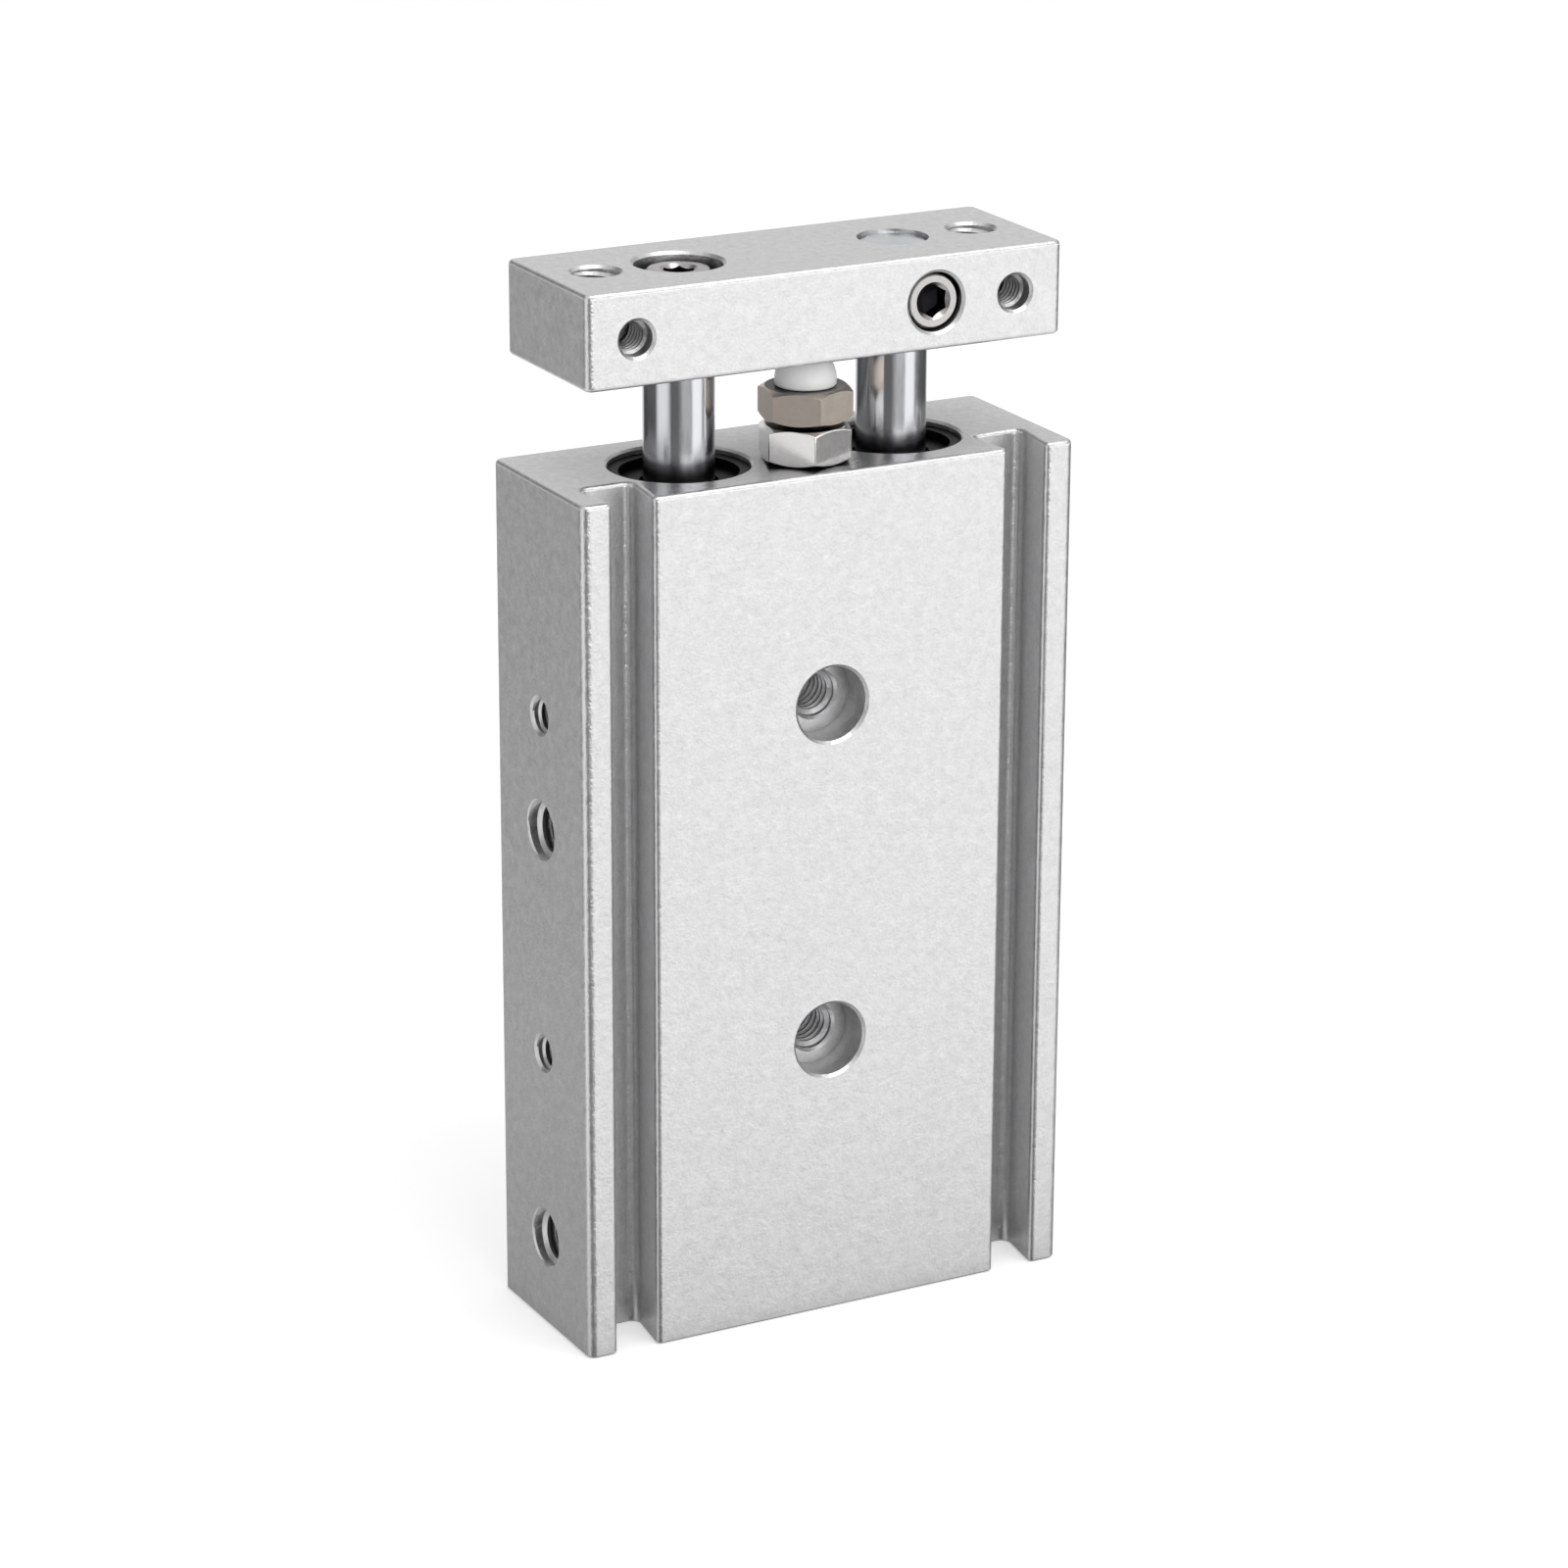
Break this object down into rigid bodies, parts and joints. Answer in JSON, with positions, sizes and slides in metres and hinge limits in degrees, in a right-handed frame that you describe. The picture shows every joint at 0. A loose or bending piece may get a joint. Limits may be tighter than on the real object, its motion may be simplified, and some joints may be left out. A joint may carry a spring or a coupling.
{
  "type": "guided pneumatic cylinder",
  "caption": "Flat guided air cylinder: parallel chromed rods slide from an aluminium body and carry an end plate that stops on an adjustable bumper bolt.",
  "frame": {"origin": "centre of the body's bottom face, on the plane that it stands on", "axes": "+Z along the rods towards the plate, +X to the right across both rods, -Y out of the grooved front face"},
  "size_m": [0.046, 0.017, 0.092],
  "materials": {
    "anodised": "bead-blasted clear anodised",
    "chromed": "hard chromed and ground",
    "nickel": "warm nickel plate",
    "zinc": "bright zinc plate",
    "screw_steel": "bright steel",
    "black_steel": "black oxide",
    "black_anodised": "black anodised",
    "bearing_alloy": "machined",
    "machined": "machined",
    "magnet": "sintered",
    "nitrile": "moulded",
    "urethane": "white moulded",
    "dark_urethane": "moulded"
  },
  "bodies": {
    "body": {"housing": "anodised", "port_plugs": "zinc", "rod_cover_left": "bearing_alloy", "rod_cover_right": "bearing_alloy", "rod_cover_o_ring_left": "nitrile", "rod_cover_o_ring_right": "nitrile", "rod_seal_left": "nitrile", "rod_seal_right": "nitrile", "seal_retainer_left": "black_anodised", "seal_retainer_right": "black_anodised", "rod_retaining_ring_left": "black_steel", "rod_retaining_ring_right": "black_steel", "head_cover_left": "machined", "head_cover_right": "machined", "head_cover_o_ring_left": "nitrile", "head_cover_o_ring_right": "nitrile", "head_retaining_ring_left": "black_steel", "head_retaining_ring_right": "black_steel", "head_bumper_left": "dark_urethane", "head_bumper_right": "dark_urethane"},
    "carriage": {"plate": "anodised", "plate_cap_screw": "screw_steel", "rod_set_screw": "screw_steel", "piston_rod_left": "chromed", "piston_rod_right": "chromed", "piston_left": "machined", "piston_right": "machined", "piston_seal_left": "nitrile", "piston_seal_right": "nitrile", "magnet_left": "magnet", "magnet_right": "magnet", "magnet_holder_left": "machined", "magnet_holder_right": "machined", "piston_nut_left": "zinc", "piston_nut_right": "zinc", "rod_bumper_left": "dark_urethane", "rod_bumper_right": "dark_urethane"},
    "bumper": {"bumper": "urethane"},
    "bumper_bolt": {"bumper_bolt": "nickel"},
    "lock_nut": {"lock_nut": "zinc"}
  },
  "joints": [
    {"name": "rod_slide", "type": "slide", "parent": "body", "child": "carriage", "axis": [0, 0, 1], "range_m": [0, 0.02]},
    {"name": "bumper_lift", "type": "slide", "parent": "body", "child": "bumper", "axis": [0, 0, 1], "range_m": [-0.00035, 0]},
    {"name": "bolt_turn", "type": "hinge", "parent": "bumper", "child": "bumper_bolt", "pos_m": [0, -0.0034, 0.0799], "axis": [0, 0, 1], "range_deg": [-180, 0]},
    {"name": "lock_nut_turn", "type": "hinge", "parent": "body", "child": "lock_nut", "pos_m": [0, -0.0034, 0.0766], "axis": [0, 0, 1], "range_deg": [0, 90]}
  ],
  "couplings": [
    {"joint": "bolt_turn", "follows": "bumper_lift", "rad_per_m": 8976}
  ]
}
